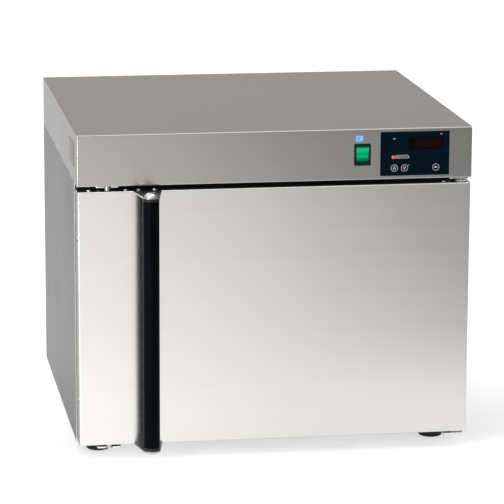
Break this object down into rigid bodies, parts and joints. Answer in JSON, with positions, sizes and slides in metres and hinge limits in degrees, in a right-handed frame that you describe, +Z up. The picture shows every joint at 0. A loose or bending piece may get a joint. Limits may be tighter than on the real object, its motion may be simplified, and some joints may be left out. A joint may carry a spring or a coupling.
{
  "type": "laboratory incubator",
  "caption": "Bench-top laboratory incubator: stainless cabinet, control hood, full-width door with tubular pull handle, wire shelves and a fan-driven air duct.",
  "frame": {"origin": "on the bench surface, in the middle of the whole outline including the handle and the mains inlet", "axes": "+Z up, the door and the controls face -Y, +X to the right as seen by someone at the door"},
  "size_m": [0.6004, 0.621, 0.505],
  "materials": {
    "stainless": "satin",
    "liner_steel": "satin",
    "fastener_steel": "gloss",
    "pin_steel": "satin",
    "wool": "matte",
    "grip": "satin",
    "foot_rubber": "matte",
    "seal": "matte",
    "membrane": "satin",
    "window": "gloss",
    "black_plastic": "satin",
    "rocker_green": "gloss",
    "label_blue": "satin",
    "plate_grey": "satin",
    "nylon": "satin",
    "circuit": "satin",
    "terminal": "matte",
    "alloy": "satin",
    "brass": "satin",
    "copper": "satin",
    "dark_steel": "satin",
    "heater_steel": "satin",
    "black_coat": "satin"
  },
  "bodies": {
    "cabinet": {"hood_cover": "stainless", "side_panel_left": "stainless", "side_panel_right": "stainless", "floor_panel": "stainless", "rear_panel": "stainless", "top_deck": "stainless", "front_frame": "black_coat", "cabinet_insulation": "wool", "inner_liner": "liner_steel", "shelf_rack_left": "liner_steel", "shelf_rack_right": "liner_steel", "shelf_upper": "liner_steel", "shelf_lower": "liner_steel", "air_baffle": "liner_steel", "heater": "heater_steel", "fan_motor": "dark_steel", "temperature_probe": "liner_steel", "limit_sensor": "copper", "keypad_overlay": "membrane", "display_window": "window", "controller_housing": "black_plastic", "controller_board": "circuit", "switch_body": "black_plastic", "switch_label": "label_blue", "terminal_block": "terminal", "relay_heatsink": "alloy", "power_inlet": "black_plastic", "inlet_pins": "brass", "cable_gland": "black_plastic", "rating_plate": "plate_grey", "hood_screws": "fastener_steel", "hinge_bracket_top": "stainless", "hinge_bracket_bottom": "stainless", "hinge_pins": "pin_steel", "catch_bracket_top": "stainless", "catch_bracket_bottom": "stainless", "catch_magnets": "pin_steel", "bracket_screws": "fastener_steel", "feet": "foot_rubber", "foot_screws": "fastener_steel"},
    "door": {"door_skin": "stainless", "door_inner_panel": "liner_steel", "door_insulation": "wool", "door_gasket": "seal", "edge_clips": "nylon", "door_screws": "fastener_steel", "strike_plates": "pin_steel", "hinge_bushes": "nylon", "handle_tube": "grip", "handle_caps": "grip", "handle_bracket_top": "stainless", "handle_bracket_bottom": "stainless", "handle_bolts": "fastener_steel"},
    "fan": {"fan_shaft": "pin_steel", "fan_wheel": "liner_steel"},
    "rocker": {"switch_rocker": "rocker_green"},
    "up_key": {"key_up": "membrane"},
    "down_key": {"key_down": "membrane"},
    "set_key": {"key_set": "membrane"}
  },
  "joints": [
    {"name": "door_hinge", "type": "hinge", "parent": "cabinet", "child": "door", "pos_m": [0.288, -0.2375, 0.224], "axis": [0, 0, 1], "range_deg": [0, 180]},
    {"name": "switch_rock", "type": "hinge", "parent": "cabinet", "child": "rocker", "pos_m": [0.1309, -0.2545, 0.466], "axis": [-1, 0, 0], "range_deg": [0, 16]},
    {"name": "up_press", "type": "slide", "parent": "cabinet", "child": "up_key", "axis": [0, 1, 0], "range_m": [0, 0.0005], "stiffness_N_per_m": 1000, "springref_m": -0.0003},
    {"name": "down_press", "type": "slide", "parent": "cabinet", "child": "down_key", "axis": [0, 1, 0], "range_m": [0, 0.0005], "stiffness_N_per_m": 1000, "springref_m": -0.0003},
    {"name": "set_press", "type": "slide", "parent": "cabinet", "child": "set_key", "axis": [0, 1, 0], "range_m": [0, 0.0005], "stiffness_N_per_m": 1000, "springref_m": -0.0003},
    {"name": "fan_spin", "type": "hinge", "parent": "cabinet", "child": "fan", "pos_m": [0, 0.2245, 0.227], "axis": [0, 1, 0], "continuous": true}
  ]
}
